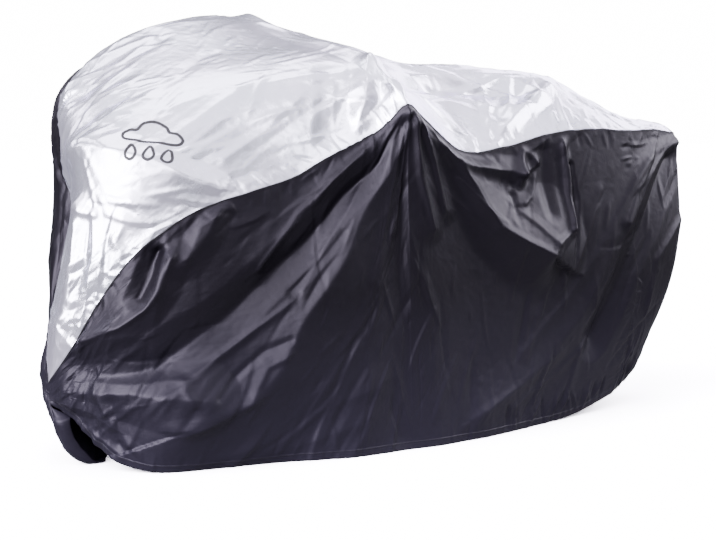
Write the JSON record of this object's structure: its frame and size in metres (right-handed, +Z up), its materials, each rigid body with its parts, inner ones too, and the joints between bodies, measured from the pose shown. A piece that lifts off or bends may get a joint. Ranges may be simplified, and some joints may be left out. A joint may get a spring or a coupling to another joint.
{
  "type": "bicycle cover",
  "caption": "Fitted cloth rain cover draped over a standing bicycle: silver top panel, black side and tail panels, open underneath.",
  "frame": {"origin": "middle of the cover in plan, on the floor that the lowest hem meets", "axes": "+X from the nose, over the front wheel, to the tail; +Y to the far side, away from the side stand; +Z up"},
  "size_m": [2.0206, 0.7734, 1.1427],
  "materials": {
    "silver_cloth": "silver coated polyester taffeta, soft metallic sheen",
    "black_cloth": "black coated polyester taffeta, satin"
  },
  "bodies": {
    "root": {"silver_top": "silver_cloth", "side_near": "black_cloth", "side_far": "black_cloth", "tail": "black_cloth"}
  },
  "joints": []
}
